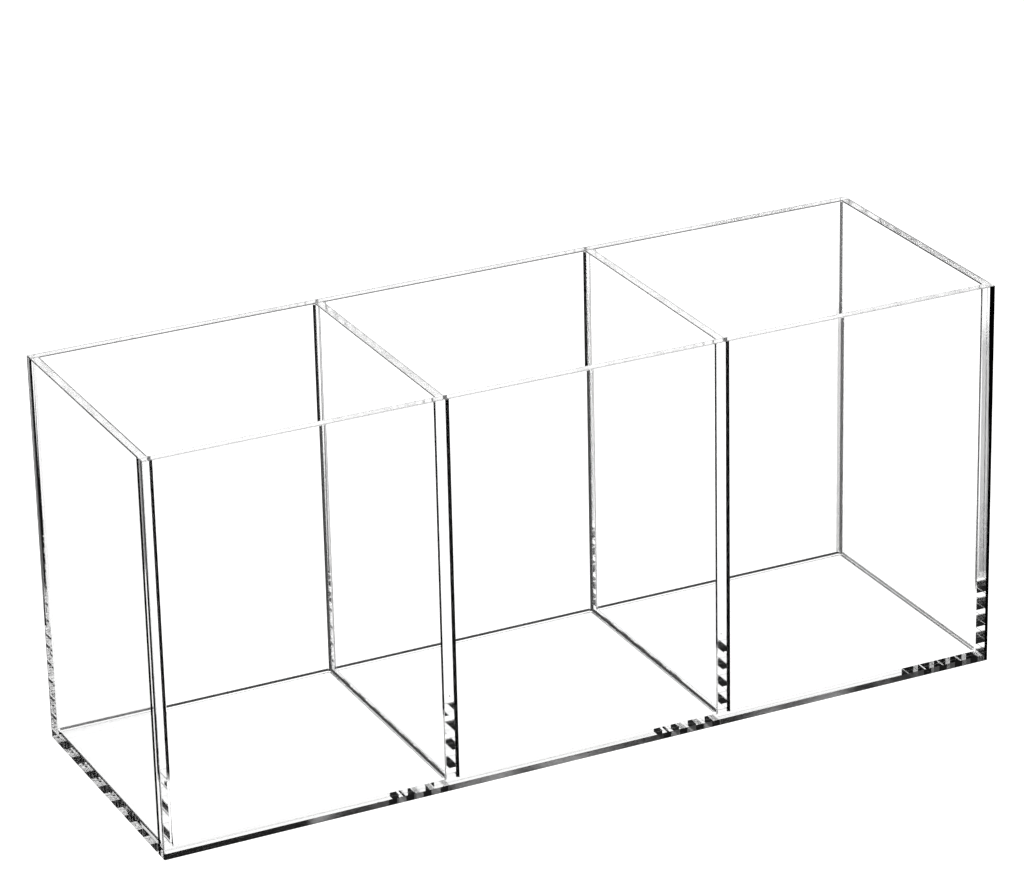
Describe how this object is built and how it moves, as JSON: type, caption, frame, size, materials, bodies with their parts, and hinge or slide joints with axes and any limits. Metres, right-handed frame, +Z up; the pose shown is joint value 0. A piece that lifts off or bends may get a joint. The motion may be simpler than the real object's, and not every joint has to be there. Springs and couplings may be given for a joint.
{
  "type": "makeup brush holder",
  "caption": "Open-topped clear acrylic holder, split by upright dividers into equal bays where makeup brushes stand on their handles.",
  "frame": {"origin": "centre of the underside, on the surface the holder stands on", "axes": "+X along the length, to the right as seen from the front; -Y towards the long side that faces the viewer; +Z up through the open top"},
  "size_m": [0.23, 0.075, 0.104],
  "materials": {
    "clear_acrylic": "water-clear cast acrylic sheet, glossy faces, flame-polished cut edges",
    "cured_cement": "clear solvent cement, cured glossy, with a few fine bubbles"
  },
  "bodies": {
    "root": {"base_plate": "clear_acrylic", "front_panel": "clear_acrylic", "back_panel": "clear_acrylic", "left_end_panel": "clear_acrylic", "left_divider": "clear_acrylic", "right_divider": "clear_acrylic", "right_end_panel": "clear_acrylic", "front_floor_seam": "cured_cement", "back_floor_seam": "cured_cement", "left_end_floor_seam": "cured_cement", "left_end_front_seam": "cured_cement", "left_end_back_seam": "cured_cement", "left_divider_floor_seam": "cured_cement", "left_divider_front_seam": "cured_cement", "left_divider_back_seam": "cured_cement", "right_divider_floor_seam": "cured_cement", "right_divider_front_seam": "cured_cement", "right_divider_back_seam": "cured_cement", "right_end_floor_seam": "cured_cement", "right_end_front_seam": "cured_cement", "right_end_back_seam": "cured_cement"}
  },
  "joints": []
}
